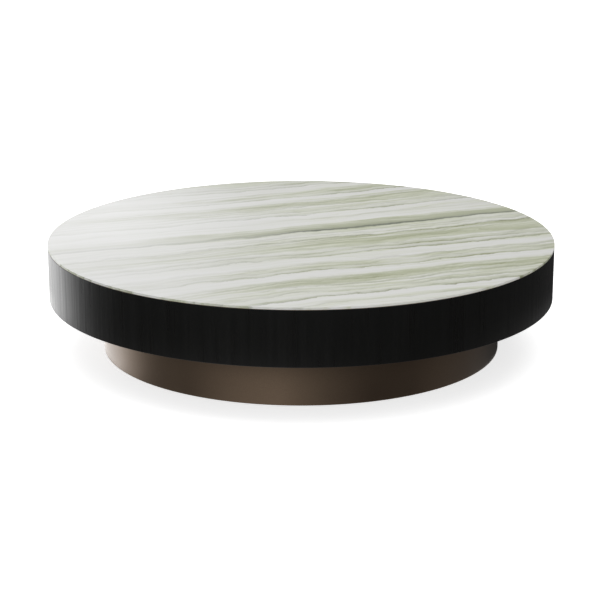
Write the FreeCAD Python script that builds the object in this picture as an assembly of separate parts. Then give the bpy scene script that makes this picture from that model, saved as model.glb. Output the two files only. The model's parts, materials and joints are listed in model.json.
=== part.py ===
import FreeCAD, Part
import math
import os

# Round cocktail table: a thin stone slab on a hollow veneered drum, standing on a narrower steel plinth
# Millimetres, +Z up, origin on the floor under the table's centre

# Overall sizes
top_diameter = 1400.0
drum_height = 147.0
plinth_height = 152.0  # floor to the drum's underside
plinth_setback = 147.0  # from the drum's face in to the plinth's face

# Stone slab, and the adhesive dabs that leave a shadow line under it
stone_thickness = 6.0
stone_arris = 0.6
adhesive_thickness = 1.0
dab_diameter = 60.0
dab_ring_counts = (1, 8, 16)
dab_ring_shares = (0.0, 0.45, 0.9)  # of the deck's radius

# Drum carcass
veneer_thickness = 1.0
veneer_ease = 0.4
rim_thickness = 12.0
deck_thickness = 18.0
rib_thickness = 18.0
hub_apothem = 60.0
batten_width = 40.0
batten_depth = 30.0
glue_gap = 0.1  # glue line between curved faces
bay_count = 8

# Dowels between hub and ribs
dowel_diameter = 10.0
dowel_clearance = 0.1
dowel_depth_share = 0.33  # of the hub's apothem, into the hub and into the rib alike
dowel_height_shares = (0.25, 0.75)  # of the rib's height

# Countersunk wood screws through the decks into the ribs
screw_diameter = 5.0
screw_head_diameter = 9.6
screw_bite = 27.0  # length held in a rib
screw_point = 6.0
screw_head_sink = 0.3
screw_clearance = 0.15
drive_width = 2.6
drive_depth = 1.6
top_screw_shares = (0.2, 0.5, 0.8)  # of the rib's length
bottom_screw_shares = (0.12, 0.34, 0.56)  # of the rib's length

# Steel plinth
band_thickness = 3.0
flange_width = 52.0
flange_thickness = 5.0
weld_gap = 0.2  # weld line between curved faces
gusset_thickness = 4.0
gusset_snipe = 12.0
gusset_setback = 4.0
gusset_hole_share = 0.5  # of the gusset's depth
gasket_thickness = 2.0
gasket_setback = 1.0

# Bolts that hold the plinth to the drum
bolt_diameter = 8.0
bolt_hole_clearance = 0.5
bolt_head_height = 5.3
bolt_head_flats = 13.0
bolt_tip_gap = 1.0
bolt_thread_gap = 0.1
washer_diameter = 16.0
washer_thickness = 1.6
washer_clearance = 0.2
insert_diameter = 12.0
insert_clearance = 0.1
insert_cover = 5.0  # deck left above an insert

# Levelling feet
foot_count = 4
foot_extend = 10.0
foot_retract = 2.0
sole_diameter = 44.0
sole_thickness = 2.0
pad_diameter = 46.0
pad_top_diameter = 30.0
pad_edge = 4.0
pad_floor = 3.0
pad_lip = 2.4
socket_clearance = 0.3
disc_diameter = 16.0
disc_height = 4.0
neck_diameter = 8.0
neck_height = 1.0  # shown between the pad and the hexagon
foot_hex_flats = 17.0
foot_hex_height = 6.0
foot_hex_room = 3.0
stud_diameter = 10.0
stud_chamfer = 1.0
stud_spare = 1.0
boss_diameter = 22.0
boss_height = 20.0
boss_fit = 0.08  # radial running clearance round the stud
flange_stud_clearance = 1.0

cut_overrun = 5.0  # how far a cutting shape stands proud of what it cuts

# Levels and radii that follow from the sizes above
full_turn = 360.0
bay_angle = full_turn / bay_count
foot_angle = full_turn / foot_count
drum_bottom = plinth_height
drum_top = drum_bottom + drum_height
stone_bottom = drum_top + adhesive_thickness
table_height = stone_bottom + stone_thickness
core_bottom = drum_bottom + deck_thickness
core_top = drum_top - deck_thickness
core_height = core_top - core_bottom
top_radius = top_diameter / 2
veneer_inner_radius = top_radius - veneer_thickness
rim_outer_radius = veneer_inner_radius - glue_gap
rim_inner_radius = rim_outer_radius - rim_thickness
deck_radius = rim_inner_radius - glue_gap
plinth_radius = top_radius - plinth_setback
band_inner_radius = plinth_radius - band_thickness
flange_outer_radius = band_inner_radius - weld_gap
flange_inner_radius = flange_outer_radius - flange_width
flange_middle_radius = (flange_outer_radius + flange_inner_radius) / 2
band_bottom = foot_retract
band_top = plinth_height - gasket_thickness
top_flange_bottom = band_top - flange_thickness
insert_length = deck_thickness - insert_cover
socket_height = disc_height + socket_clearance * 2
pad_height = pad_floor + socket_height + pad_lip
pad_top = sole_thickness + pad_height
foot_hex_bottom = pad_top + neck_height
foot_hex_top = foot_hex_bottom + foot_hex_height
bottom_flange_bottom = foot_hex_top + foot_retract + foot_hex_room
bottom_flange_top = bottom_flange_bottom + flange_thickness
boss_top = bottom_flange_top + boss_height
stud_top = boss_top + foot_extend + stud_spare

up = FreeCAD.Vector(0, 0, 1)
origin = FreeCAD.Vector(0, 0, 0)
nodes = {}


def cylinder(radius, bottom, top):
    return Part.makeCylinder(radius, top - bottom, FreeCAD.Vector(0, 0, bottom))


def ring(outer_radius, inner_radius, bottom, top):
    return cylinder(outer_radius, bottom, top).cut(cylinder(inner_radius, bottom, top))


def polygon_face(points):
    corners = [FreeCAD.Vector(*point) for point in points]
    return Part.Face(Part.makePolygon(corners + corners[:1]))


def revolved(outline):
    # outline holds (radius, height) pairs
    face = polygon_face([(radius, 0, height) for radius, height in outline])
    return face.revolve(origin, up, full_turn)


def hexagon(across_flats, bottom, top):
    corner_radius = across_flats / math.sqrt(3)
    points = []
    for side in range(6):
        angle = math.radians(full_turn * side / 6)
        points.append((corner_radius * math.cos(angle), corner_radius * math.sin(angle), bottom))
    return polygon_face(points).extrude(up * (top - bottom))


def placed(shape, radius, angle, height=0):
    moved = shape.copy()
    moved.translate(FreeCAD.Vector(radius, 0, height))
    moved.rotate(origin, up, angle)
    return moved


def flipped(shape):
    turned = shape.copy()
    turned.rotate(origin, FreeCAD.Vector(1, 0, 0), full_turn / 2)
    return turned


def chord_reach(radius, width):
    # how far out a square end of this width goes inside a circle of this radius
    return math.sqrt(radius**2 - (width / 2) ** 2)


# Stone slab with eased arrises
nodes["stone_top"] = revolved(
    [
        (0, stone_bottom),
        (top_radius - stone_arris, stone_bottom),
        (top_radius, stone_bottom + stone_arris),
        (top_radius, table_height - stone_arris),
        (top_radius - stone_arris, table_height),
        (0, table_height),
    ]
)

# Adhesive dabs in rings on the top deck
dab = cylinder(dab_diameter / 2, drum_top, stone_bottom)
dabs = []
for share, count in zip(dab_ring_shares, dab_ring_counts):
    for place in range(count):
        dabs.append(placed(dab, deck_radius * share, full_turn * place / count))
nodes["stone_adhesive_dabs"] = Part.makeCompound(dabs)

# Veneer skin round the drum, eased along both outer edges
nodes["rim_veneer"] = revolved(
    [
        (veneer_inner_radius, drum_bottom),
        (top_radius - veneer_ease, drum_bottom),
        (top_radius, drum_bottom + veneer_ease),
        (top_radius, drum_top - veneer_ease),
        (top_radius - veneer_ease, drum_top),
        (veneer_inner_radius, drum_top),
    ]
)

# Bent plywood rim panels, butted over the rib ends
joint_half_angle = math.degrees(glue_gap / rim_inner_radius)
rim_section = polygon_face(
    [
        (rim_inner_radius, 0, drum_bottom),
        (rim_outer_radius, 0, drum_bottom),
        (rim_outer_radius, 0, drum_top),
        (rim_inner_radius, 0, drum_top),
    ]
)
rim_panel = rim_section.revolve(origin, up, bay_angle - joint_half_angle * 2)

# Rib seen along +X, from the hub's face out to the rim, with its dowel and screw holes
rib_reach = chord_reach(deck_radius, rib_thickness)
rib_length = rib_reach - hub_apothem
dowel_depth = hub_apothem * dowel_depth_share
dowel_radius = dowel_diameter / 2
dowel_heights = [core_bottom + core_height * share for share in dowel_height_shares]
along = FreeCAD.Vector(1, 0, 0)


def dowel_bar(clearance):
    start = hub_apothem - dowel_depth - clearance
    bars = []
    for height in dowel_heights:
        foot = FreeCAD.Vector(start, 0, height)
        bars.append(Part.makeCylinder(dowel_radius + clearance, (dowel_depth + clearance) * 2, foot, along))
    return bars


def screw_outline(clearance, proud):
    # head face at height zero, pointing down; proud carries the hole's mouth up past the head
    head_radius = screw_head_diameter / 2
    shank_radius = screw_diameter / 2
    tip = screw_head_sink - deck_thickness - screw_bite
    outline = [(0, tip - clearance), (shank_radius + clearance, tip + screw_point)]
    outline += [(shank_radius + clearance, shank_radius - head_radius), (head_radius + clearance, 0)]
    if proud:
        outline += [(head_radius + clearance, proud)]
    return outline + [(0, proud)]


screw_drive = Part.makeBox(
    drive_width,
    drive_width,
    drive_depth + cut_overrun,
    FreeCAD.Vector(-drive_width / 2, -drive_width / 2, -drive_depth),
)
screw = revolved(screw_outline(0, 0)).cut(screw_drive)
screw_hole = revolved(screw_outline(screw_clearance, cut_overrun))
top_screw_height = drum_top - screw_head_sink
bottom_screw_height = drum_bottom + screw_head_sink


def along_rib(shape, shares, angle, height):
    return [placed(shape, hub_apothem + rib_length * share, angle, height) for share in shares]


rib = Part.makeBox(
    rib_length,
    rib_thickness,
    core_height,
    FreeCAD.Vector(hub_apothem, -rib_thickness / 2, core_bottom),
)
rib_cuts = dowel_bar(dowel_clearance)
rib_cuts += along_rib(screw_hole, top_screw_shares, 0, top_screw_height)
rib_cuts += along_rib(flipped(screw_hole), bottom_screw_shares, 0, bottom_screw_height)
rib = rib.cut(rib_cuts)

# Batten in the middle of each bay, standing between the decks against its rim panel
batten_reach = chord_reach(deck_radius, batten_width)
batten = Part.makeBox(
    batten_depth,
    batten_width,
    core_height,
    FreeCAD.Vector(batten_reach - batten_depth, -batten_width / 2, core_bottom),
)

# Bays: ribs stand half a bay round from the front-back line, panels and battens lie between them
hub_corners = []
hub_cuts = []
dowels = []
battens = []
top_screws = []
top_screw_holes = []
bottom_screws = []
bottom_screw_holes = []
hub_corner_radius = hub_apothem / math.cos(math.radians(bay_angle / 2))
for bay in range(bay_count):
    rib_angle = bay_angle * (bay + 0.5)
    number = bay + 1
    nodes[f"rim_panel_{number}"] = placed(rim_panel, 0, rib_angle + joint_half_angle)
    nodes[f"rib_{number}"] = placed(rib, 0, rib_angle)
    corner_angle = math.radians(bay_angle * bay)
    hub_corners.append(
        (hub_corner_radius * math.cos(corner_angle), hub_corner_radius * math.sin(corner_angle), core_bottom)
    )
    hub_cuts += [placed(bar, 0, rib_angle) for bar in dowel_bar(dowel_clearance)]
    dowels += [placed(bar, 0, rib_angle) for bar in dowel_bar(0)]
    battens.append(placed(batten, 0, bay_angle * bay))
    top_screws += along_rib(screw, top_screw_shares, rib_angle, top_screw_height)
    top_screw_holes += along_rib(screw_hole, top_screw_shares, rib_angle, top_screw_height)
    bottom_screws += along_rib(flipped(screw), bottom_screw_shares, rib_angle, bottom_screw_height)
    bottom_screw_holes += along_rib(flipped(screw_hole), bottom_screw_shares, rib_angle, bottom_screw_height)
nodes["hub"] = polygon_face(hub_corners).extrude(up * core_height).cut(hub_cuts)
nodes["rib_dowels"] = Part.makeCompound(dowels)
nodes["rim_battens"] = Part.makeCompound(battens)
nodes["top_deck_screws"] = Part.makeCompound(top_screws)
nodes["bottom_deck_screws"] = Part.makeCompound(bottom_screws)

# Decks close the drum above and below; the lower one holds the threaded inserts in blind holes
insert_hole = cylinder(insert_diameter / 2 + insert_clearance, -cut_overrun, insert_length + insert_clearance)
bolt_angles = [bay_angle * bay for bay in range(bay_count)]
insert_holes = [placed(insert_hole, flange_middle_radius, angle, drum_bottom) for angle in bolt_angles]
nodes["top_deck"] = cylinder(deck_radius, core_top, drum_top).cut(top_screw_holes)
nodes["bottom_deck"] = cylinder(deck_radius, drum_bottom, core_bottom).cut(bottom_screw_holes + insert_holes)

# Rolled steel band with a flange ring welded inside at the top and one low down for the feet
bolt_radius = bolt_diameter / 2
bolt_hole = cylinder(bolt_radius + bolt_hole_clearance, -cut_overrun, flange_thickness + cut_overrun)
stud_radius = stud_diameter / 2
stud_hole = cylinder(stud_radius + flange_stud_clearance, -cut_overrun, flange_thickness + cut_overrun)
foot_angles = [foot_angle * (foot + 0.5) for foot in range(foot_count)]
bolt_holes = [placed(bolt_hole, flange_middle_radius, angle, top_flange_bottom) for angle in bolt_angles]
stud_holes = [placed(stud_hole, flange_middle_radius, angle, bottom_flange_bottom) for angle in foot_angles]
nodes["plinth_band"] = ring(plinth_radius, band_inner_radius, band_bottom, band_top)
nodes["plinth_top_flange"] = ring(
    flange_outer_radius, flange_inner_radius, top_flange_bottom, band_top
).cut(bolt_holes)
nodes["plinth_bottom_flange"] = ring(
    flange_outer_radius, flange_inner_radius, bottom_flange_bottom, bottom_flange_top
).cut(stud_holes)
gasket_bolt_hole = cylinder(bolt_radius + bolt_hole_clearance, -cut_overrun, gasket_thickness + cut_overrun)
nodes["base_gasket"] = ring(
    plinth_radius - gasket_setback, flange_inner_radius, band_top, drum_bottom
).cut([placed(gasket_bolt_hole, flange_middle_radius, angle, band_top) for angle in bolt_angles])

# Gusset plates between the flanges, sniped clear of the welds at the band
gusset_reach = chord_reach(flange_outer_radius, gusset_thickness)
gusset_start = flange_inner_radius + gusset_setback
gusset_depth = gusset_reach - gusset_start
gusset_outline = [
    (gusset_start, bottom_flange_top),
    (gusset_reach - gusset_snipe, bottom_flange_top),
    (gusset_reach, bottom_flange_top + gusset_snipe),
    (gusset_reach, top_flange_bottom - gusset_snipe),
    (gusset_reach - gusset_snipe, top_flange_bottom),
    (gusset_start, top_flange_bottom),
]
gusset = polygon_face([(reach, -gusset_thickness / 2, height) for reach, height in gusset_outline])
gusset = gusset.extrude(FreeCAD.Vector(0, gusset_thickness, 0))
gusset_hole = Part.makeCylinder(
    gusset_depth * gusset_hole_share / 2,
    gusset_thickness + cut_overrun * 2,
    FreeCAD.Vector(
        gusset_start + gusset_depth / 2,
        -gusset_thickness / 2 - cut_overrun,
        (bottom_flange_top + top_flange_bottom) / 2,
    ),
    FreeCAD.Vector(0, 1, 0),
)
gusset = gusset.cut(gusset_hole)
for bay in range(bay_count):
    nodes[f"gusset_{bay + 1}"] = placed(gusset, 0, bay_angle * (bay + 0.5))

# Hexagon bolts with washers, up through flange and gasket into the inserts
washer_bottom = top_flange_bottom - washer_thickness
bolt_tip = drum_bottom + insert_length - bolt_tip_gap
bolt = hexagon(bolt_head_flats, washer_bottom - bolt_head_height, washer_bottom)
bolt = bolt.fuse(cylinder(bolt_radius, washer_bottom, bolt_tip))
washer = ring(washer_diameter / 2, bolt_radius + washer_clearance, washer_bottom, top_flange_bottom)
insert = ring(insert_diameter / 2, bolt_radius + bolt_thread_gap, drum_bottom, drum_bottom + insert_length)
for name, fastener in (("plinth_bolts", bolt), ("plinth_washers", washer), ("threaded_inserts", insert)):
    nodes[name] = Part.makeCompound([placed(fastener, flange_middle_radius, angle) for angle in bolt_angles])

# Levelling foot: felt sole, pad with a socket, and a stud whose disc turns in the socket
pad_radius = pad_diameter / 2
neck_radius = neck_diameter / 2
neck_hole_radius = neck_radius + socket_clearance
disc_radius = disc_diameter / 2
socket_radius = disc_radius + socket_clearance
socket_bottom = sole_thickness + pad_floor
socket_top = socket_bottom + socket_height
disc_bottom = socket_bottom + socket_clearance
disc_top = disc_bottom + disc_height
sole = cylinder(sole_diameter / 2, 0, sole_thickness)
pad = revolved(
    [
        (0, sole_thickness),
        (pad_radius, sole_thickness),
        (pad_radius, sole_thickness + pad_edge),
        (pad_top_diameter / 2, pad_top),
        (neck_hole_radius, pad_top),
        (neck_hole_radius, socket_top),
        (socket_radius, socket_top),
        (socket_radius, socket_bottom),
        (0, socket_bottom),
    ]
)
stud_bar = revolved(
    [
        (0, disc_bottom),
        (disc_radius, disc_bottom),
        (disc_radius, disc_top),
        (neck_radius, disc_top),
        (neck_radius, foot_hex_bottom),
        (stud_radius, foot_hex_bottom),
        (stud_radius, stud_top - stud_chamfer),
        (stud_radius - stud_chamfer, stud_top),
        (0, stud_top),
    ]
)
stud = stud_bar.fuse(hexagon(foot_hex_flats, foot_hex_bottom, foot_hex_top)).removeSplitter()
boss = ring(boss_diameter / 2, stud_radius + boss_fit, bottom_flange_top, boss_top)
foot_pieces = {"foot_sole": sole, "foot_pad": pad, "foot_stud": stud, "foot_boss": boss}
for foot, angle in enumerate(foot_angles):
    for name, piece in foot_pieces.items():
        nodes[f"{name}_{foot + 1}"] = placed(piece, flange_middle_radius, angle)

# One file for each piece
os.makedirs("parts", exist_ok=True)
for name, shape in nodes.items():
    if not shape.isValid():
        raise ValueError(f"{name} is not a valid solid")
    shape.exportStep(f"parts/{name}.step")
print(f"{len(nodes)} pieces, {top_diameter:.0f} mm across, {table_height:.0f} mm high")
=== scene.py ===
import json
import math

import bmesh
import bpy
from mathutils import Matrix, Vector


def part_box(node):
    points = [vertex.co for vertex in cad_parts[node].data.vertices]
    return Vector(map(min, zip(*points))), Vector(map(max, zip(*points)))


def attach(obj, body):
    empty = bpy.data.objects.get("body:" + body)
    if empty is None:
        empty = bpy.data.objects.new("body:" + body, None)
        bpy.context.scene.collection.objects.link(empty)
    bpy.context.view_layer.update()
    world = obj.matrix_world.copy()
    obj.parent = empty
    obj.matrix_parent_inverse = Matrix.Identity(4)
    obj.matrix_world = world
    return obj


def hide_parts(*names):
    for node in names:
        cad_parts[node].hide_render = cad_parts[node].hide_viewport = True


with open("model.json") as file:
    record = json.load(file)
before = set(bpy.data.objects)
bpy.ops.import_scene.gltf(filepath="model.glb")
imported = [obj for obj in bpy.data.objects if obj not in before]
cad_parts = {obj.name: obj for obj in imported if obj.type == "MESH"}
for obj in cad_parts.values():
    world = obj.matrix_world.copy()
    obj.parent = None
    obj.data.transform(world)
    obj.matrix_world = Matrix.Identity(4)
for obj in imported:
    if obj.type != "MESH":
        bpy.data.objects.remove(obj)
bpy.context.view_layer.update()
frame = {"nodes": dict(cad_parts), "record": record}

scene = bpy.context.scene
scene.view_settings.view_transform = "Standard"
mm = 0.001
fullTurn = 2 * math.pi
mergeGap = 0.001 * mm  # vertices nearer than this become one
bevelAngle = math.radians(40)  # edges that turn by more than this are rounded
creaseAngle = math.radians(35)  # edges that turn by more than this stay crisp in the shading


def linear(hexColour):  # sRGB hex to the linear values that shaders use
    channels = [int(hexColour[i:i + 2], 16) / 255 for i in (1, 3, 5)]
    return [c / 12.92 if c <= 0.04045 else ((c + 0.055) / 1.055) ** 2.4 for c in channels] + [1.0]


def addNode(tree, kind, inputs, stops=(), **settings):  # inputs: nodes, sockets or plain values
    node = tree.nodes.new("ShaderNode" + kind)
    for name, setting in settings.items():
        setattr(node, name, setting)
    for name, value in inputs.items():
        if isinstance(value, bpy.types.Node):
            tree.links.new(value.outputs[0], node.inputs[name])
        elif isinstance(value, bpy.types.NodeSocket):
            tree.links.new(value, node.inputs[name])
        else:
            node.inputs[name].default_value = value
    for count, (place, shade) in enumerate(stops):  # stops of a ramp: hex colours or grey levels
        marks = node.color_ramp.elements
        mark = marks[count] if count < 2 else marks.new(place)
        mark.position = place
        mark.color = linear(shade) if isinstance(shade, str) else [shade, shade, shade, 1.0]
    return node


def newMaterial(name):
    material = bpy.data.materials.new(name)
    material.use_nodes = True
    material.node_tree.nodes.clear()
    return material, material.node_tree


def spinOutline(outline, steps, closed=True):  # outline: (radius, height) in metres, spun round the Z axis
    bm = bmesh.new()
    corners = [bm.verts.new((radius, 0, height)) for radius, height in outline]
    pairs = list(zip(corners, corners[1:])) + ([(corners[-1], corners[0])] if closed else [])
    edges = [bm.edges.new(pair) for pair in pairs]
    bmesh.ops.spin(bm, geom=corners + edges, cent=(0, 0, 0), axis=(0, 0, 1), angle=fullTurn,
                   steps=steps, use_merge=True)
    bmesh.ops.remove_doubles(bm, verts=bm.verts, dist=mergeGap)
    return bm


def roundEdges(bm, width, segments):  # rounds every edge where two faces meet at a clear angle
    sharp = [e for e in bm.edges if len(e.link_faces) == 2 and e.calc_face_angle() > bevelAngle]
    bmesh.ops.bevel(bm, geom=sharp, offset=width, affect="EDGES", segments=segments,
                    profile=0.5, material=-1)


def finishPiece(name, bm, material, body, slotName, *replaced):
    bmesh.ops.remove_doubles(bm, verts=bm.verts, dist=mergeGap)
    bmesh.ops.recalc_face_normals(bm, faces=bm.faces)
    mesh = bpy.data.meshes.new(name)
    bm.to_mesh(mesh)
    bm.free()
    mesh.shade_smooth()
    mesh.set_sharp_from_angle(angle=creaseAngle)
    mesh.materials.append(material)
    piece = bpy.data.objects.new(name, mesh)
    scene.collection.objects.link(piece)
    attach(piece, body)
    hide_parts(*replaced)


# Camera: a long lens, a little above the table
cameraSet = {"lens": 111.9, "tilt": 16.331, "distance": 5.2423, "aimHeight": 0.1203, "shift": -0.0018}


def placeCamera():
    data = bpy.data.cameras.new("camera")
    data.lens = cameraSet["lens"]
    data.shift_x = cameraSet["shift"]
    camera = bpy.data.objects.new("camera", data)
    tilt = math.radians(cameraSet["tilt"])
    away = Vector((0, -math.cos(tilt), math.sin(tilt))) * cameraSet["distance"]
    camera.location = Vector((0, 0, cameraSet["aimHeight"])) + away
    camera.rotation_euler = (math.pi / 2 - tilt, 0, 0)
    scene.collection.objects.link(camera)
    scene.camera = camera


placeCamera()
print("camera placed")

# Stone slab
slab = {
    "arris": 0.7 * mm, "arrisSteps": 3, "rimSteps": 360,
    "ground": [  # depth of tone, colour
        (0.0, "#d4d4d1"), (0.3, "#cdcec5"), (0.6, "#bfc2ad"), (1.0, "#a6aa8d")],
    "lineColour": "#646a34", "boldColour": "#434c33", "gloss": (0.30, 0.42),
    "layerTurn": 21.5,  # degrees that the layers run off the X axis
    "layerStart": -590, "layerPeriod": 820,  # mm across the slab, after which the layers come again
    "layers": [  # mm from the start of a period, depth of tone
        (0, 0.05), (4, 0.46), (28, 0.28), (76, 0.45), (98, 0.36), (128, 0.80), (140, 0.92),
        (152, 0.62), (190, 0.06), (222, 0.06), (227, 0.50), (250, 0.42), (282, 0.48), (302, 0.14),
        (356, 0.16), (364, 0.44), (390, 0.30), (400, 0.55), (424, 0.26), (444, 0.66), (464, 0.98),
        (508, 0.58), (532, 0.78), (542, 0.36), (592, 0.28), (612, 0.60), (640, 1.00), (668, 0.98),
        (712, 0.10), (765, 0.24), (800, 0.06), (820, 0.06),
    ],
    "tornLines": [  # mm from the start of a period to the foot of the line, strength
        (2, 0.95), (136, 0.60), (226, 0.90), (364, 0.85),
        (398, 0.90), (474, 0.50), (512, 0.50), (534, 0.95),
    ],
    "fineLines": [
        (44, 0.55), (94, 0.60), (158, 0.45), (262, 0.40),
        (288, 0.45), (436, 0.45), (585, 0.40), (758, 0.30),
    ],
    "hairLines": [
        (20, 0.20), (68, 0.30), (114, 0.30), (246, 0.30),
        (382, 0.25), (416, 0.30), (494, 0.30), (566, 0.40),
    ],
    "lineSpread": [  # mm above the foot of a line, share of its strength
        (-1.5, 0.0), (0.5, 1.0), (7.0, 0.65), (20.0, 0.0)],
    "lineBreaks": (130, 40), "lineLeast": 0.40,  # mm along, mm across, share of a line left at a break
    "boldVein": 628,  # mm from the start of a period
    "boldSpan": (-20, 80), "boldSpread": [  # mm above the vein, share of its strength
        (-8, 0.0), (-3, 1.0), (6, 1.0), (13, 0.40), (30, 0.17), (60, 0.12), (76, 0.0)],
    "reachSpan": 700, "boldReach": [  # mm right of the middle, share of its strength
        (-600, 0.16), (-300, 0.28), (-120, 0.46), (50, 1.0), (110, 0.88),
        (180, 0.88), (240, 0.98), (340, 0.96), (420, 0.82), (600, 0.80)],
    "sways": [(700, 450, 1, 38), (220, 140, 3, 22)],  # mm along, mm across, detail, reach in mm
    "torn": {  # mm along, mm across, reach in mm
        "layers": (90, 150, 18),
        "tornLines": (110, 170, 34),
        "fineLines": (120, 190, 30),
        "hairLines": (110, 170, 32),
    },
    "streaks": [  # mm along, mm across, detail, depth, share on pale stone
        (420, 16, 2, 0.40, 0.7), (240, 30, 2, 0.26, 0.2)],
    "bedding": {
        "pitch": 64, "depth": 0.34,  # mm between beds, depth of tone
        "sway": (300, 110, 90), "shown": (300, 60),  # mm along, mm across, reach in mm
        "profile": [(0.0, 0.0), (0.04, 1.0), (0.10, 0.70), (0.4, 0.30), (1.0, 0.0)],  # share of a bed, tone
        "back": (150.0, 450.0, 2.2),  # mm where they start and stop growing to the back, and by how much
    },
    "clouds": (320, 80, 0.8, 1.2),  # mm along, mm across, least and most of the tone
    "sheenWash": (-0.60, 0.25, 0.40),  # painted sheen: the top's tone is washed paler to the left, for the reflection of the bright light at the back left; metres where the tone starts and is full, share at the left
    "leftSheenSaturation": 0.45,  # painted sheen: saturation at the left, the colour washed out as by the reflection of the bright light at the back left
}


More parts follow.
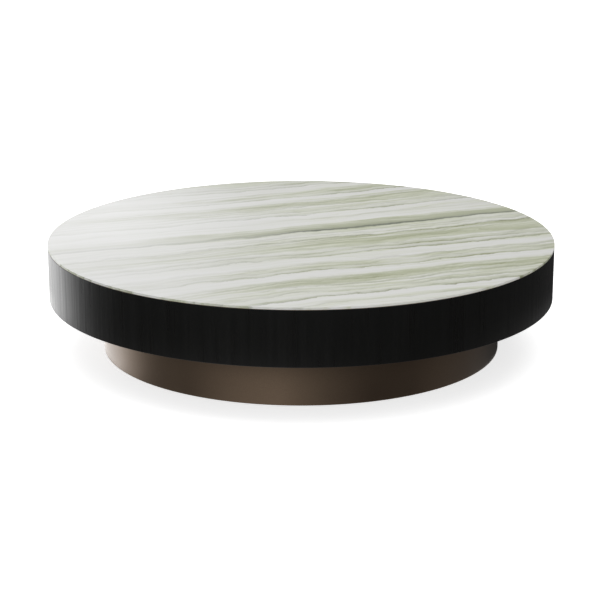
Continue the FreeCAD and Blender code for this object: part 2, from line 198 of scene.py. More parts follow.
def bandedMarble():
    # Banded marble, sawn and honed: pale grey ground, sage layers with olive lines at their feet, satin
    material, tree = newMaterial("banded_marble_honed")
    place = addNode(tree, "TexCoord", {}).outputs["Object"]
    side = addNode(tree, "SeparateXYZ", {"Vector": place}).outputs["X"]
    turned = addNode(tree, "Mapping", {  # in mm, X along the layers and Y across them
        "Vector": place, "Rotation": (0, 0, -math.radians(slab["layerTurn"])), "Scale": (1000, 1000, 1000)})
    axes = addNode(tree, "SeparateXYZ", {"Vector": turned})

    # Layers sway over long and short lengths
    across = axes.outputs["Y"]
    for along, wide, detail, reach in slab["sways"]:
        cells = addNode(tree, "Mapping", {"Vector": turned, "Scale": (1 / along, 1 / wide, 1 / wide)})
        noise = addNode(tree, "TexNoise", {
            "Vector": cells, "Scale": 1.0, "Detail": detail, "Roughness": 0.6})
        push = addNode(tree, "MapRange", {"Value": noise, "To Min": -reach, "To Max": reach})
        across = addNode(tree, "Math", {0: across, 1: push}, operation="ADD")
    swayed = addNode(tree, "CombineXYZ", {"X": axes.outputs["X"], "Y": across, "Z": axes.outputs["Z"]})

    # Torn edges: the feet of the layers and their lines are ragged over a few centimetres
    ragged = {}
    shares = {}
    for name, (along, wide, reach) in slab["torn"].items():
        cells = addNode(tree, "Mapping", {"Vector": turned, "Scale": (1 / along, 1 / wide, 1 / wide)})
        noise = addNode(tree, "TexNoise", {
            "Vector": cells, "Scale": 1.0, "Detail": 5.0, "Roughness": 0.66})
        push = addNode(tree, "MapRange", {"Value": noise, "To Min": -reach, "To Max": reach})
        ragged[name] = addNode(tree, "Math", {0: across, 1: push}, operation="ADD")
        share = addNode(tree, "MapRange", {
            "Value": ragged[name], "From Min": slab["layerStart"],
            "From Max": slab["layerStart"] + slab["layerPeriod"]}, clamp=False)
        shares[name] = addNode(tree, "Math", {0: share}, operation="FRACT")
    layers = addNode(tree, "ValToRGB", {"Fac": shares["layers"]}, stops=[
        (far / slab["layerPeriod"], tone) for far, tone in slab["layers"]])

    # Streaks run along the layers, deeper where the tone is deep
    tone = layers
    for along, wide, detail, depth, onPale in slab["streaks"]:
        cells = addNode(tree, "Mapping", {"Vector": swayed, "Scale": (1 / along, 1 / wide, 1 / wide)})
        noise = addNode(tree, "TexNoise", {
            "Vector": cells, "Scale": 1.0, "Detail": detail, "Roughness": 0.62})
        streak = addNode(tree, "MapRange", {
            "Value": noise, "From Min": 0.25, "From Max": 0.75, "To Min": -depth, "To Max": depth})
        weight = addNode(tree, "MapRange", {
            "Value": layers, "From Max": 0.6, "To Min": onPale, "To Max": 1.0})
        part = addNode(tree, "Math", {0: streak, 1: weight}, operation="MULTIPLY")
        tone = addNode(tree, "Math", {0: tone, 1: part}, operation="ADD")

    # Fine bedding between the drawn layers: each bed is deepest at its foot and fades upwards
    bedding = slab["bedding"]
    along, wide, reach = bedding["sway"]
    cells = addNode(tree, "Mapping", {"Vector": turned, "Scale": (1 / along, 1 / wide, 1 / wide)})
    noise = addNode(tree, "TexNoise", {"Vector": cells, "Scale": 1.0, "Detail": 3.0, "Roughness": 0.5})
    push = addNode(tree, "MapRange", {"Value": noise, "To Min": -reach, "To Max": reach})
    bed = addNode(tree, "Math", {0: across, 1: push}, operation="ADD")
    bed = addNode(tree, "Math", {0: bed, 1: 1 / bedding["pitch"]}, operation="MULTIPLY")
    bed = addNode(tree, "Math", {0: bed}, operation="FRACT")
    bed = addNode(tree, "ValToRGB", {"Fac": bed}, stops=bedding["profile"])
    along, wide = bedding["shown"]
    cells = addNode(tree, "Mapping", {  # moved off the patterns of the same size
        "Vector": swayed, "Location": (3.7, 1.3, 0), "Scale": (1 / along, 1 / wide, 1 / wide)})
    noise = addNode(tree, "TexNoise", {"Vector": cells, "Scale": 1.0, "Detail": 2.0})
    shown = addNode(tree, "MapRange", {
        "Value": noise, "From Min": 0.42, "From Max": 0.66, "To Min": 0.0, "To Max": bedding["depth"]})
    bed = addNode(tree, "Math", {0: bed, 1: shown}, operation="MULTIPLY")
    backStart, backStop, backTimes = bedding["back"]
    back = addNode(tree, "MapRange", {
        "Value": axes.outputs["Y"], "From Min": backStart, "From Max": backStop,
        "To Min": 1.0, "To Max": backTimes})
    bed = addNode(tree, "Math", {0: bed, 1: back}, operation="MULTIPLY")
    tone = addNode(tree, "Math", {0: tone, 1: bed}, operation="ADD")

    # Clouds let a layer come and go. All of the top's tone is painted fainter to the left, a painted sheen
    # of the bright light at the back left, but not on the slab's edge, which that sheen does not reach
    along, wide, least, most = slab["clouds"]
    cells = addNode(tree, "Mapping", {"Vector": swayed, "Scale": (1 / along, 1 / wide, 1 / wide)})
    noise = addNode(tree, "TexNoise", {"Vector": cells, "Scale": 1.0, "Detail": 2.0})
    cloud = addNode(tree, "MapRange", {
        "Value": noise, "From Min": 0.3, "From Max": 0.7, "To Min": least, "To Max": most})
    tone = addNode(tree, "Math", {0: tone, 1: cloud}, operation="MULTIPLY")
    facing = addNode(tree, "NewGeometry", {}).outputs["Normal"]
    upward = addNode(tree, "SeparateXYZ", {"Vector": facing}).outputs["Z"]
    rim = addNode(tree, "MapRange", {
        "Value": upward, "From Min": 0.3, "From Max": 0.7, "To Min": 0.9, "To Max": 0.0})
    # Painted sheen: the top faces are washed paler to the left, as by the reflection of the bright light at
    # the back left
    sheenWashStart, sheenWashStop, sheenWashLeast = slab["sheenWash"]
    sheenWash = addNode(tree, "MapRange", {
        "Value": side, "From Min": sheenWashStart, "From Max": sheenWashStop, "To Min": sheenWashLeast, "To Max": 1.0},
        interpolation_type="SMOOTHSTEP")
    sheenWash = addNode(tree, "Math", {0: sheenWash, 1: rim}, operation="MAXIMUM")
    tone = addNode(tree, "Math", {0: tone, 1: sheenWash}, operation="MULTIPLY")
    colour = addNode(tree, "ValToRGB", {"Fac": tone}, stops=slab["ground"])

    # Olive lines, broken along their length
    along, wide = slab["lineBreaks"]
    cells = addNode(tree, "Mapping", {"Vector": turned, "Scale": (1 / along, 1 / wide, 1 / wide)})
    noise = addNode(tree, "TexNoise", {"Vector": cells, "Scale": 1.0, "Detail": 2.0})
    broken = addNode(tree, "MapRange", {
        "Value": noise, "From Min": 0.36, "From Max": 0.56, "To Min": slab["lineLeast"], "To Max": 1.0})
    for count in range(2):  # the painted sheen washes the lines out sooner than the tone of the layers
        broken = addNode(tree, "Math", {0: broken, 1: sheenWash}, operation="MULTIPLY")
    for name in ("tornLines", "fineLines", "hairLines"):
        lines = addNode(tree, "ValToRGB", {"Fac": shares[name]}, stops=[
            ((far + above) / slab["layerPeriod"], strength * part)
            for far, strength in slab[name] for above, part in slab["lineSpread"]])
        lines = addNode(tree, "Math", {0: lines, 1: broken}, operation="MULTIPLY")
        colour = addNode(tree, "Mix", {
            0: lines, 6: colour, 7: linear(slab["lineColour"])}, data_type="RGBA").outputs[2]

    # One bold vein, dark to the right and dying away to the left
    boldPlace = slab["layerStart"] + slab["boldVein"]
    below, above = slab["boldSpan"]
    near = addNode(tree, "MapRange", {
        "Value": ragged["layers"], "From Min": boldPlace + below, "From Max": boldPlace + above})
    core = addNode(tree, "ValToRGB", {"Fac": near}, stops=[
        ((height - below) / (above - below), strength) for height, strength in slab["boldSpread"]])
    span = slab["reachSpan"]
    reach = addNode(tree, "MapRange", {"Value": side, "From Min": -span * mm, "From Max": span * mm})
    dying = addNode(tree, "ValToRGB", {"Fac": reach}, stops=[
        ((span + far) / (2 * span), strength) for far, strength in slab["boldReach"]])
    core = addNode(tree, "Math", {0: core, 1: dying}, operation="MULTIPLY")
    colour = addNode(tree, "Mix", {
        0: core, 6: colour, 7: linear(slab["boldColour"])}, data_type="RGBA").outputs[2]
    # Painted sheen: colour is desaturated where the top is washed paler to the left
    sheenSaturation = addNode(tree, "MapRange", {
        "Value": sheenWash, "From Min": sheenWashLeast, "To Min": slab["leftSheenSaturation"], "To Max": 1.0})
    colour = addNode(tree, "HueSaturation", {"Color": colour, "Saturation": sheenSaturation})
    smooth, rough = slab["gloss"]
    gloss = addNode(tree, "MapRange", {"Value": tone, "To Min": smooth, "To Max": rough})
    shader = addNode(tree, "BsdfPrincipled", {"Base Color": colour, "Roughness": gloss, "IOR": 1.5})
    addNode(tree, "OutputMaterial", {"Surface": shader})
    return material


def buildSlab():
    low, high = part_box("stone_top")
    bm = bmesh.new()
    bmesh.ops.create_circle(bm, cap_ends=True, segments=slab["rimSteps"], radius=high.x,
                            matrix=Matrix.Translation((0, 0, low.z)))
    made = bmesh.ops.extrude_face_region(bm, geom=bm.faces[:])
    raised = [v for v in made["geom"] if isinstance(v, bmesh.types.BMVert)]
    bmesh.ops.translate(bm, verts=raised, vec=(0, 0, high.z - low.z))
    roundEdges(bm, slab["arris"], slab["arrisSteps"])
    finishPiece("stone_slab", bm, bandedMarble(), "table", "stone", "stone_top")


buildSlab()
print("stone slab built")

# Oak veneer round the drum
veneer = {
    "steps": 360, "ease": 0.5 * mm, "thickness": 1.0 * mm,
    "leafCount": 20,  # leaves round the drum
    "ringSpacing": 13.0, "archSlope": 0.17,  # mm between rings, rise of their arches
    "heart": (0.3, 0.7), "apex": (-250.0, 450.0),  # where arches stand: share of a leaf, height in mm
    "wander": (55, 170, 16.0),  # mm across, mm up, reach in mm
    "fibre": (2.5, 110), "patch": (70, 260), "stripe": (20, 500),  # mm across, mm up
    "stain": [(0.15, "#0d0d0c"), (0.45, "#0e0e0d"), (0.8, "#11110f")],  # depth of figure, colour
    "gloss": (0.26, 0.34), "specular": 0.48, "waves": 0.8 * mm, "relief": 0.2 * mm,
}


def blackOak():
    # Oak veneer, plain sliced, stained black, satin lacquer: upright grain, faint arches, streaked gloss
    material, tree = newMaterial("oak_veneer_black_stain")
    low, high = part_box("rim_veneer")
    leafWidth = fullTurn * high.x / mm / veneer["leafCount"]
    place = addNode(tree, "TexCoord", {}).outputs["Object"]
    axes = addNode(tree, "SeparateXYZ", {"Vector": place})
    front = addNode(tree, "Math", {0: axes.outputs["Y"], 1: -1.0}, operation="MULTIPLY")
    angle = addNode(tree, "Math", {0: axes.outputs["X"], 1: front}, operation="ARCTAN2")
    leaves = addNode(tree, "Math", {0: angle, 1: veneer["leafCount"] / fullTurn}, operation="MULTIPLY")
    leaf = addNode(tree, "Math", {0: leaves}, operation="FLOOR")
    chance = addNode(tree, "TexWhiteNoise", {"W": leaf}, noise_dimensions="1D")
    chances = addNode(tree, "SeparateColor", {"Color": chance.outputs["Color"]})
    run = addNode(tree, "Math", {0: leaves, 1: leafWidth}, operation="MULTIPLY")
    height = addNode(tree, "Math", {0: axes.outputs["Z"], 1: 1000.0}, operation="MULTIPLY")
    sheet = addNode(tree, "CombineXYZ", {  # mm on the flat leaf
        "X": run, "Y": chance.outputs["Value"], "Z": height})

    # Rings cut at a slant: upright lines at the sides of a leaf, arches in its middle
    within = addNode(tree, "Math", {0: leaves}, operation="FRACT")
    low, high = veneer["heart"]
    heart = addNode(tree, "MapRange", {"Value": chances.outputs["Red"], "To Min": low, "To Max": high})
    off = addNode(tree, "Math", {0: within, 1: heart}, operation="SUBTRACT")
    off = addNode(tree, "Math", {0: off, 1: leafWidth}, operation="MULTIPLY")
    wide, tall, reach = veneer["wander"]
    cells = addNode(tree, "Mapping", {"Vector": sheet, "Scale": (1 / wide, 1, 1 / tall)})
    noise = addNode(tree, "TexNoise", {"Vector": cells, "Scale": 1.0, "Detail": 3.0})
    wander = addNode(tree, "MapRange", {"Value": noise, "To Min": -reach, "To Max": reach})
    off = addNode(tree, "Math", {0: off, 1: wander}, operation="ADD")
    low, high = veneer["apex"]
    apex = addNode(tree, "MapRange", {"Value": chances.outputs["Green"], "To Min": low, "To Max": high})
    rise = addNode(tree, "Math", {0: height, 1: apex}, operation="SUBTRACT")
    rise = addNode(tree, "Math", {0: rise, 1: veneer["archSlope"]}, operation="MULTIPLY")
    slant = addNode(tree, "CombineXYZ", {"X": off, "Y": rise})
    depth = addNode(tree, "VectorMath", {0: slant}, operation="LENGTH").outputs["Value"]
    rings = addNode(tree, "Math", {0: depth, 1: 1 / veneer["ringSpacing"]}, operation="MULTIPLY")
    ring = addNode(tree, "Math", {0: rings}, operation="FRACT")
    lines = addNode(tree, "ValToRGB", {"Fac": ring}, stops=[
        (0.0, 0.85), (0.10, 0.5), (0.30, 0.12), (0.75, 0.05), (0.92, 0.45), (1.0, 0.85)])

    # Fibres are drawn coarser than real ones, so that they show in the render
    wide, tall = veneer["fibre"]
    cells = addNode(tree, "Mapping", {"Vector": sheet, "Scale": (1 / wide, 1, 1 / tall)})
    fibres = addNode(tree, "TexNoise", {"Vector": cells, "Scale": 1.0, "Detail": 4.0, "Roughness": 0.6})
    wide, tall = veneer["patch"]
    cells = addNode(tree, "Mapping", {"Vector": sheet, "Scale": (1 / wide, 1, 1 / tall)})
    patches = addNode(tree, "TexNoise", {"Vector": cells, "Scale": 1.0, "Detail": 2.0})
    shown = addNode(tree, "MapRange", {"Value": patches, "From Min": 0.35, "From Max": 0.65})
    lines = addNode(tree, "Math", {0: lines, 1: shown}, operation="MULTIPLY")
    figure = addNode(tree, "Mix", {0: 0.5, 2: fibres, 3: lines})
    colour = addNode(tree, "ValToRGB", {"Fac": figure}, stops=veneer["stain"])

    # Stripes vary the gloss, and their slight waves streak bright reflections
    wide, tall = veneer["stripe"]
    cells = addNode(tree, "Mapping", {"Vector": sheet, "Scale": (1 / wide, 1, 1 / tall)})
    stripes = addNode(tree, "TexNoise", {"Vector": cells, "Scale": 1.0, "Detail": 3.0, "Roughness": 0.7})
    smooth, rough = veneer["gloss"]
    gloss = addNode(tree, "MapRange", {
        "Value": stripes, "From Min": 0.3, "From Max": 0.7, "To Min": smooth, "To Max": rough})
    waves = addNode(tree, "Bump", {"Height": stripes, "Strength": 1.0, "Distance": veneer["waves"]})
    bump = addNode(tree, "Bump", {
        "Height": figure, "Strength": 0.2, "Distance": veneer["relief"], "Normal": waves})
    shader = addNode(tree, "BsdfPrincipled", {
        "Base Color": colour, "Roughness": gloss, "Specular IOR Level": veneer["specular"],
        "Normal": bump, "IOR": 1.40})
    addNode(tree, "OutputMaterial", {"Surface": shader})
    return material


def buildVeneer():
    low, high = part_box("rim_veneer")
    inner = high.x - veneer["thickness"]
    ease = veneer["ease"]
    bm = spinOutline([
        (inner, low.z), (high.x - ease, low.z), (high.x, low.z + ease),
        (high.x, high.z - ease), (high.x - ease, high.z), (inner, high.z)], veneer["steps"])
    finishPiece("oak_veneer_skin", bm, blackOak(), "table", "veneer", "rim_veneer")


buildVeneer()
print("veneer built")

# Bronze band of the plinth
band = {
    "steps": 360, "wall": 3.0 * mm, "edge": 0.8 * mm, "edgeSteps": 3,
    "lacquer": [(0.3, "#5a4c40"), (0.7, "#625446")], "gloss": (0.33, 0.39),
    "flake": 2.5, "cloud": 140, "peel": 6.0,  # sizes in mm; flakes are drawn coarser than real ones, to show
}


def bronzeLacquer():
    # Rolled steel sprayed with bronze metallic lacquer: warm brown, fine flake and a broad soft highlight
    material, tree = newMaterial("steel_bronze_lacquer")
    place = addNode(tree, "TexCoord", {}).outputs["Object"]
    flake = addNode(tree, "TexNoise", {"Vector": place, "Scale": 1000 / band["flake"], "Detail": 2.0})
    cloud = addNode(tree, "TexNoise", {"Vector": place, "Scale": 1000 / band["cloud"], "Detail": 2.0})
    mixed = addNode(tree, "Mix", {0: 0.35, 2: flake, 3: cloud})
    colour = addNode(tree, "ValToRGB", {"Fac": mixed}, stops=band["lacquer"])
    smooth, rough = band["gloss"]
    gloss = addNode(tree, "MapRange", {
        "Value": cloud, "From Min": 0.3, "From Max": 0.7, "To Min": smooth, "To Max": rough})
    peel = addNode(tree, "TexNoise", {"Vector": place, "Scale": 1000 / band["peel"], "Detail": 1.0})
    bump = addNode(tree, "Bump", {"Height": peel, "Strength": 0.08, "Distance": 0.1 * mm})
    shader = addNode(tree, "BsdfPrincipled", {
        "Base Color": colour, "Roughness": gloss, "Normal": bump, "Metallic": 1.0})
    addNode(tree, "OutputMaterial", {"Surface": shader})
    return material


def buildBand():
    low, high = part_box("plinth_band")
    inner = high.x - band["wall"]
    bm = spinOutline([(inner, low.z), (high.x, low.z), (high.x, high.z), (inner, high.z)], band["steps"])
    roundEdges(bm, band["edge"], band["edgeSteps"])
    finishPiece("bronze_band", bm, bronzeLacquer(), "table", "bronze_band", "plinth_band")


buildBand()
print("plinth band built")

# Finishes of the pieces inside and below: cell is the size in mm of their grain or speckle, in X, Y and Z
finishes = {
    "core_board": {  # medium density board, sawn: warm brown, fine fibres, dull
        "name": "fibreboard_raw", "deep": "#a98a66", "pale": "#bd9d78", "cell": (4, 4, 1.5),
        "gloss": (0.75, 0.9), "bump": 0.05, "shader": {"IOR": 1.47}},
    "underside_board": {  # the same board rolled with black paint: near black, roller stipple
        "name": "fibreboard_black_paint", "deep": "#141414", "pale": "#1d1d1c", "cell": (3, 3, 3),
        "gloss": (0.5, 0.62), "bump": 0.08, "shader": {"IOR": 1.48}},
    "dowel": {  # beech rod, turned: pale pinkish brown, short flecks
        "name": "beech_turned", "deep": "#b98f66", "pale": "#cfa57b", "cell": (1.5, 1.5, 6),
        "gloss": (0.6, 0.75), "bump": 0.04, "shader": {"IOR": 1.47}},
    "zinc_steel": {  # steel, zinc plated: cool grey, patchy sheen
        "name": "steel_zinc_plated", "deep": "#a7abb0", "pale": "#c4c7ca", "cell": (3, 3, 3),
        "gloss": (0.26, 0.42), "bump": 0.01, "shader": {"Metallic": 1.0}},
    "gasket": {  # rubber sheet, die cut: black and dull with a dusty bloom
        "name": "rubber_sheet_black", "deep": "#151515", "pale": "#232323", "cell": (6, 6, 2),
        "gloss": (0.7, 0.85), "bump": 0.03, "shader": {"IOR": 1.52}},
    "plinth_steel": {  # steel, black powder coat: near black, orange peel
        "name": "steel_black_powder_coat", "deep": "#151515", "pale": "#1b1b1b", "cell": (2, 2, 2),
        "gloss": (0.42, 0.55), "bump": 0.06, "shader": {"IOR": 1.5}},
    "foot_plastic": {  # nylon, moulded: black, fine spark texture
        "name": "nylon_black_moulded", "deep": "#131313", "pale": "#1c1c1c", "cell": (0.8, 0.8, 0.8),
        "gloss": (0.45, 0.6), "bump": 0.05, "shader": {"IOR": 1.53}},
    "felt": {  # wool felt, pressed: brown grey, matted fibres, no gloss
        "name": "wool_felt_pressed", "deep": "#332e28", "pale": "#4d463e", "cell": (1.2, 1.2, 0.6),
        "gloss": (0.9, 1.0), "bump": 0.25, "shader": {"IOR": 1.45, "Sheen Weight": 0.3}},
    "adhesive": {  # polymer adhesive, cured: black, smooth and slightly lumpy
        "name": "adhesive_black_cured", "deep": "#151515", "pale": "#1e1e1e", "cell": (8, 8, 8),
        "gloss": (0.35, 0.5), "bump": 0.1, "shader": {"IOR": 1.45}},
}


def speckledFinish(look):
    material, tree = newMaterial(look["name"])
    place = addNode(tree, "TexCoord", {}).outputs["Object"]
    cells = addNode(tree, "Mapping", {"Vector": place, "Scale": [1000 / size for size in look["cell"]]})
    noise = addNode(tree, "TexNoise", {"Vector": cells, "Scale": 1.0, "Detail": 3.0})
    colour = addNode(tree, "ValToRGB", {"Fac": noise}, stops=[(0.35, look["deep"]), (0.65, look["pale"])])
    smooth, rough = look["gloss"]
    gloss = addNode(tree, "MapRange", {
        "Value": noise, "From Min": 0.3, "From Max": 0.7, "To Min": smooth, "To Max": rough})
    bump = addNode(tree, "Bump", {"Height": noise, "Strength": 0.6, "Distance": look["bump"] * mm})
    shader = addNode(tree, "BsdfPrincipled", dict(
        look["shader"], **{"Base Color": colour, "Roughness": gloss, "Normal": bump}))
    addNode(tree, "OutputMaterial", {"Surface": shader})
    return material


plies = {
    "thickness": 1.5, "grain": (12, 12, 90),  # mm of one ply, mm of its grain in X, Y and Z
    "pale": "#c8a981", "deep": "#a98860", "paint": "#151515",
}


def bentPlywood():
    # Birch plies bent and glued: fine lines round the drum at the edges, the lower edge painted black
    material, tree = newMaterial("birch_plywood_bent")
    place = addNode(tree, "TexCoord", {}).outputs["Object"]
    level = addNode(tree, "VectorMath", {0: place, 1: (1000.0, 1000.0, 0.0)}, operation="MULTIPLY")
    radius = addNode(tree, "VectorMath", {0: level}, operation="LENGTH").outputs["Value"]
    ply = addNode(tree, "Math", {0: radius, 1: 2 * plies["thickness"]}, operation="MODULO")
    ply = addNode(tree, "Math", {0: ply, 1: plies["thickness"]}, operation="GREATER_THAN")
    cells = addNode(tree, "Mapping", {"Vector": place, "Scale": [1000 / size for size in plies["grain"]]})
    grain = addNode(tree, "TexNoise", {"Vector": cells, "Scale": 1.0, "Detail": 4.0})
    mixed = addNode(tree, "Mix", {0: 0.5, 2: ply, 3: grain})
    wood = addNode(tree, "ValToRGB", {"Fac": mixed}, stops=[(0.15, plies["pale"]), (0.85, plies["deep"])])
    facing = addNode(tree, "NewGeometry", {}).outputs["Normal"]
    upright = addNode(tree, "SeparateXYZ", {"Vector": facing}).outputs["Z"]
    below = addNode(tree, "Math", {0: upright, 1: -0.5}, operation="LESS_THAN")
    colour = addNode(tree, "Mix", {
        0: below, 6: wood, 7: linear(plies["paint"])}, data_type="RGBA").outputs[2]
    bump = addNode(tree, "Bump", {"Height": grain, "Strength": 0.4, "Distance": 0.1 * mm})
    shader = addNode(tree, "BsdfPrincipled", {
        "Base Color": colour, "Normal": bump, "Roughness": 0.6, "IOR": 1.47})
    addNode(tree, "OutputMaterial", {"Surface": shader})
    return material


materials = {slotName: speckledFinish(look) for slotName, look in finishes.items()}
materials["bent_plywood"] = bentPlywood()
for part in frame["record"]["subparts"]:
    if part["material_slot"] in materials:
        frame["nodes"][part["node"]].data.materials[0] = materials[part["material_slot"]]
print("inner finishes laid")

# Hexagon bolts that hold the plinth, one piece of eight
bolts = {
    "count": 8, "headHeight": 5.3 * mm, "acrossFlats": 13.0 * mm, "chamfer": 0.6 * mm,
    "shank": 8.0 * mm, "shankSteps": 32,
}


def hexagonHead(acrossFlats, height, chamfer):  # stands on the XY plane, chamfered above and below
    bm = bmesh.new()
    corner = acrossFlats / 2 / math.cos(math.pi / 6)
    bmesh.ops.create_cone(bm, cap_ends=True, segments=6, radius1=corner, radius2=corner, depth=height,
                          matrix=Matrix.Translation((0, 0, height / 2)))
    rims = [e for e in bm.edges if abs(e.verts[0].co.z - e.verts[1].co.z) < 0.1 * mm]
    bmesh.ops.bevel(bm, geom=rims, offset=chamfer, affect="EDGES", segments=2, profile=0.5, material=-1)
    return bm


def buildBolts():
    low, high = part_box("plinth_bolts")
    ringRadius = high.x - bolts["acrossFlats"] / 2 / math.cos(math.pi / 6)
    bm = hexagonHead(bolts["acrossFlats"], bolts["headHeight"], bolts["chamfer"])
    length = high.z - low.z - bolts["headHeight"]
    radius = bolts["shank"] / 2
    bmesh.ops.create_cone(bm, cap_ends=True, segments=bolts["shankSteps"], radius1=radius, radius2=radius,
                          depth=length, matrix=Matrix.Translation((0, 0, bolts["headHeight"] + length / 2)))
    bmesh.ops.translate(bm, verts=bm.verts, vec=(ringRadius, 0, low.z))
    bmesh.ops.spin(bm, geom=bm.verts[:] + bm.edges[:] + bm.faces[:], cent=(0, 0, 0), axis=(0, 0, 1),
                   angle=fullTurn * (1 - 1 / bolts["count"]), steps=bolts["count"] - 1, use_duplicate=True)
    finishPiece("plinth_hexagon_bolts", bm, materials["zinc_steel"], "table", "zinc_steel", "plinth_bolts")


buildBolts()
print("bolts built")

# Levelling feet: felt sole, nylon pad and threaded stud
foot = {
    "steps": 64, "padEdge": 4.0 * mm, "padTop": 15.0 * mm, "padRound": 0.9 * mm, "soleRound": 0.5 * mm,
    "neckHole": 4.3 * mm, "socket": 8.3 * mm, "socketFloor": 3.0 * mm, "lip": 2.4 * mm,
    "disc": 8.0 * mm, "discHeight": 4.0 * mm, "neck": 4.0 * mm, "neckTop": 7.7 * mm,
    "acrossFlats": 17.0 * mm, "hexHeight": 6.0 * mm, "chamfer": 0.8 * mm,
    "thread": 5.0 * mm, "threadDepth": 0.8 * mm, "pitch": 1.5 * mm, "threadSteps": 32, "tip": 1.0 * mm,
    "roundSteps": 3, "overlap": 1.0 * mm,  # how far disc and thread reach into the hexagon
    "threadStart": 0.2 * mm, "toothSink": 0.1 * mm,  # above the hexagon, into the core
    "tooth": (0.08, 0.44, 0.56, 0.92),  # shares of the pitch at the tooth's foot, crest, crest and foot
}


def buildFootPad(name, number):
    low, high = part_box(name)
    rim = (high.x - low.x) / 2
    tall = high.z - low.z
    bm = spinOutline([
        (0, 0), (rim, 0), (rim, foot["padEdge"]), (foot["padTop"], tall), (foot["neckHole"], tall),
        (foot["neckHole"], tall - foot["lip"]), (foot["socket"], tall - foot["lip"]),
        (foot["socket"], foot["socketFloor"]), (0, foot["socketFloor"])], foot["steps"], closed=False)
    roundEdges(bm, foot["padRound"], foot["roundSteps"])
    bmesh.ops.translate(bm, verts=bm.verts, vec=((low.x + high.x) / 2, (low.y + high.y) / 2, low.z))
    finishPiece("nylon_" + name, bm, materials["foot_plastic"], f"foot_{number}", "foot_plastic", name)


def buildFootSole(name, number):
    low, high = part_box(name)
    bm = bmesh.new()
    rim = (high.x - low.x) / 2
    bmesh.ops.create_cone(bm, cap_ends=True, segments=foot["steps"], radius1=rim, radius2=rim,
                          depth=high.z - low.z)
    roundEdges(bm, foot["soleRound"], foot["roundSteps"])
    bmesh.ops.translate(bm, verts=bm.verts, vec=(low + high) / 2)
    finishPiece("felt_" + name, bm, materials["felt"], f"foot_{number}", "felt", name)


def buildFootStud(name, number):
    low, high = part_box(name)
    bm = hexagonHead(foot["acrossFlats"], foot["hexHeight"], foot["chamfer"])
    bmesh.ops.translate(bm, verts=bm.verts, vec=(0, 0, foot["neckTop"]))

    # Disc and neck below the hexagon, then the core of the thread with its tapered tip
    hexTop = foot["neckTop"] + foot["hexHeight"]
    root = foot["thread"] - foot["threadDepth"]
    tall = high.z - low.z
    overlap = foot["overlap"]
    taper = foot["tip"] / 2
    for outline in (
        [(0, 0), (foot["disc"], 0), (foot["disc"], foot["discHeight"]), (foot["neck"], foot["discHeight"]),
         (foot["neck"], foot["neckTop"] + overlap), (0, foot["neckTop"] + overlap)],
        [(0, hexTop - overlap), (root, hexTop - overlap), (root, tall - taper), (root - taper, tall),
         (0, tall)],
    ):
        spun = spinOutline(outline, foot["threadSteps"], closed=False)
        mesh = bpy.data.meshes.new("turned")
        spun.to_mesh(mesh)
        spun.free()
        bm.from_mesh(mesh)
        bpy.data.meshes.remove(mesh)

    # Thread ridge: one tooth wound up the core
    pitch = foot["pitch"]
    turns = int((tall - foot["tip"] - hexTop) / pitch) - 1
    start = hexTop + foot["threadStart"]
    sunk = root - foot["toothSink"]
    tooth = zip((sunk, foot["thread"], foot["thread"], sunk), foot["tooth"])
    corners = [bm.verts.new((radius, 0, start + share * pitch)) for radius, share in tooth]
    edges = [bm.edges.new(pair) for pair in zip(corners, corners[1:] + corners[:1])]
    face = bm.faces.new(corners)
    bmesh.ops.spin(bm, geom=corners + edges + [face], cent=(0, 0, 0), axis=(0, 0, 1),
                   angle=fullTurn * turns, dvec=(0, 0, pitch / foot["threadSteps"]),
                   steps=turns * foot["threadSteps"])
    spot = Vector(((low.x + high.x) / 2, (low.y + high.y) / 2, low.z))
    outward = Matrix.Rotation(math.atan2(spot.y, spot.x), 3, "Z")
    bmesh.ops.rotate(bm, verts=bm.verts, cent=(0, 0, 0), matrix=outward)
    bmesh.ops.translate(bm, verts=bm.verts, vec=spot)
    finishPiece("threaded_" + name, bm, materials["zinc_steel"], f"stud_{number}", "zinc_steel", name)


for number in range(1, 5):
    buildFootSole(f"foot_sole_{number}", number)
    buildFootPad(f"foot_pad_{number}", number)
    buildFootStud(f"foot_stud_{number}", number)
print("feet built")
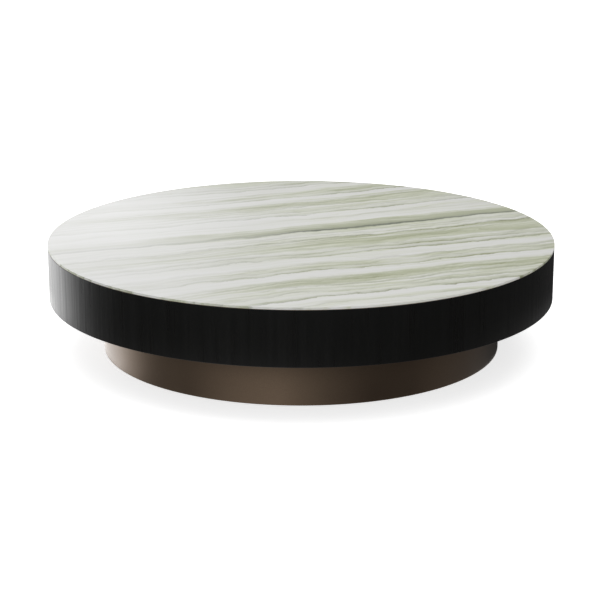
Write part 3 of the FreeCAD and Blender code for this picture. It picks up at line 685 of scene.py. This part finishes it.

# Studio: white floor, soft light, and glowing ring cards that only reflections see, which paint the
# reflections on the stone, drum and band
studio = {
    "ambient": 0.5, "floorSize": 60.0, "floorColour": "#f8f8f8", "floorGlow": 0.68,
    "floorDrop": 0.2 * mm,  # keeps it clear of the soles
    "lamps": {  # place, aim, width and height in metres, watts, whether a gloss mirrors it
        "top": ((0.1, 0.5, 3.2), (0, 0, 0), (5.0, 5.0), 76.0, True),
        "left": ((-2.1, 1.7, 1.2), (-1.0, 0.8, 0), (2.4, 1.2), 12.0, True),
        "front": ((0, -3.4, 0.40), (0, 0, 0.30), (3.0, 0.5), 16.0, False),
    },
    "cardFull": 3.0, "cardSteps": 96,  # glow of a card at full, steps round it
    # Cards: radii and heights in metres, how far the stripes fan out and from which radius,
    # and the glow by degrees to the right of the front
    "cards": {
        "wall": ((2.6, 2.6), (0.0, 2.4), (0.0, 1.0), [
            (-180, 0.74), (-174, 0.76), (-162, 1.30), (-110, 1.55), (-80, 0.6), (0, 0.5),
            (90, 0.20), (130, 0.24), (146, 0.62), (168, 0.66), (180, 0.74)]),
        "far": ((1.02, 2.6), (0.5 * mm, 0.5 * mm), (1.2, 0.70), [
            (-180, 0.40), (-130, 0.40), (-105, 1.2), (-82, 1.7), (-69, 2.5), (-63, 1.75), (-60, 1.1),
            (-58, 0.76), (-55, 0.46), (-51, 0.22), (-46, 0.06), (-33, 0.02), (0, 0.03), (26, 0.01),
            (53, 0.05), (78, 0.05), (87, 0.02), (105, 0.02), (130, 0.40), (180, 0.40)]),
        "near": ((0.555, 1.02), (0.5 * mm, 0.5 * mm), (1.2, 0.555), [
            (-180, 0.45), (-130, 0.45), (-100, 1.6), (-85, 2.4), (-64, 2.25), (-59, 1.65), (-54, 1.2),
            (-50, 0.74), (-46, 0.50), (-42, 0.40), (-32, 0.38), (-17, 0.85), (-6, 1.02), (0, 0.74),
            (8, 0.44), (19, 0.22), (31, 0.22), (38, 0.30), (44, 0.33), (60, 0.27), (72, 0.11),
            (84, 0.05), (105, 0.05), (130, 0.45), (180, 0.45)]),
    },
}


def directRays(tree):  # 1 for rays from the camera, off a gloss or through glass
    path = addNode(tree, "LightPath", {})
    seen = path.outputs["Is Camera Ray"]
    for ray in ("Is Glossy Ray", "Is Transmission Ray"):
        seen = addNode(tree, "Math", {0: seen, 1: path.outputs[ray]}, operation="MAXIMUM")
    return seen


def buildWorld():
    world = bpy.data.worlds.new("studio")
    world.use_nodes = True
    tree = world.node_tree
    tree.nodes.clear()
    glow = addNode(tree, "MapRange", {
        "Value": directRays(tree), "To Min": studio["ambient"], "To Max": 1.0})
    sky = addNode(tree, "Background", {"Color": linear("#ffffff"), "Strength": glow})
    addNode(tree, "OutputWorld", {"Surface": sky})
    scene.world = world


def stageObject(name, bm, material):
    mesh = bpy.data.meshes.new(name)
    bm.to_mesh(mesh)
    bm.free()
    mesh.materials.append(material)
    thing = bpy.data.objects.new(name, mesh)
    scene.collection.objects.link(thing)
    return thing


def buildFloor():
    material, tree = newMaterial("floor_white_paint")
    lit = addNode(tree, "BsdfDiffuse", {"Color": linear(studio["floorColour"])})
    lift = addNode(tree, "Math", {0: directRays(tree), 1: studio["floorGlow"]}, operation="MULTIPLY")
    shine = addNode(tree, "Emission", {"Strength": lift})
    paint = addNode(tree, "AddShader", {0: lit, 1: shine})

    # Clear from below, to show the underside
    under = addNode(tree, "NewGeometry", {}).outputs["Backfacing"]
    clear = addNode(tree, "BsdfTransparent", {})
    both = addNode(tree, "MixShader", {0: under, 1: paint, 2: clear})
    addNode(tree, "OutputMaterial", {"Surface": both})
    bm = bmesh.new()
    bmesh.ops.create_grid(bm, x_segments=1, y_segments=1, size=studio["floorSize"] / 2,
                          matrix=Matrix.Translation((0, 0, -studio["floorDrop"])))
    stageObject("floor", bm, material)


# Each card is a glowing panel, not lit paper: its glow, listed by degrees round the table, paints the bright
# and dark reflections that the stone, drum and band mirror
def buildCard(name, radii, heights, fan, glows):
    material, tree = newMaterial("glowing_card_" + name)
    place = addNode(tree, "TexCoord", {}).outputs["Object"]
    axes = addNode(tree, "SeparateXYZ", {"Vector": place})
    front = addNode(tree, "Math", {0: axes.outputs["Y"], 1: -1.0}, operation="MULTIPLY")
    turn = addNode(tree, "Math", {0: axes.outputs["X"], 1: front}, operation="ARCTAN2")
    reach = addNode(tree, "VectorMath", {0: place}, operation="LENGTH").outputs["Value"]
    widening, fanRadius = fan
    inward = addNode(tree, "Math", {0: fanRadius, 1: reach}, operation="DIVIDE")
    spread = addNode(tree, "MapRange", {"Value": inward, "To Min": 1.0 + widening, "To Max": 1.0})
    turn = addNode(tree, "Math", {0: turn, 1: spread}, operation="DIVIDE")
    share = addNode(tree, "MapRange", {"Value": turn, "From Min": -math.pi, "From Max": math.pi})
    level = addNode(tree, "ValToRGB", {"Fac": share}, stops=[
        ((180 + degrees) / 360, glow / studio["cardFull"]) for degrees, glow in glows])
    shine = addNode(tree, "Emission", {"Color": level, "Strength": studio["cardFull"]})
    addNode(tree, "OutputMaterial", {"Surface": shine})
    bm = spinOutline(list(zip(radii, heights)), studio["cardSteps"], closed=False)
    card = stageObject("card_" + name, bm, material)
    for ray in ("camera", "diffuse", "shadow", "transmission", "volume_scatter"):
        setattr(card, "visible_" + ray, False)


def hangLamp(name, place, aim, size, power, mirrored):
    data = bpy.data.lights.new(name, "AREA")
    data.shape = "RECTANGLE"
    data.size, data.size_y = size
    data.energy = power
    lamp = bpy.data.objects.new(name, data)
    lamp.location = place
    lamp.rotation_euler = (Vector(aim) - Vector(place)).to_track_quat("-Z", "Y").to_euler()
    lamp.visible_camera = False
    lamp.visible_glossy = mirrored
    scene.collection.objects.link(lamp)


buildWorld()
buildFloor()
for name, card in studio["cards"].items():
    buildCard(name, *card)
for name, lamp in studio["lamps"].items():
    hangLamp(name + "_softbox", *lamp)
print("studio set")
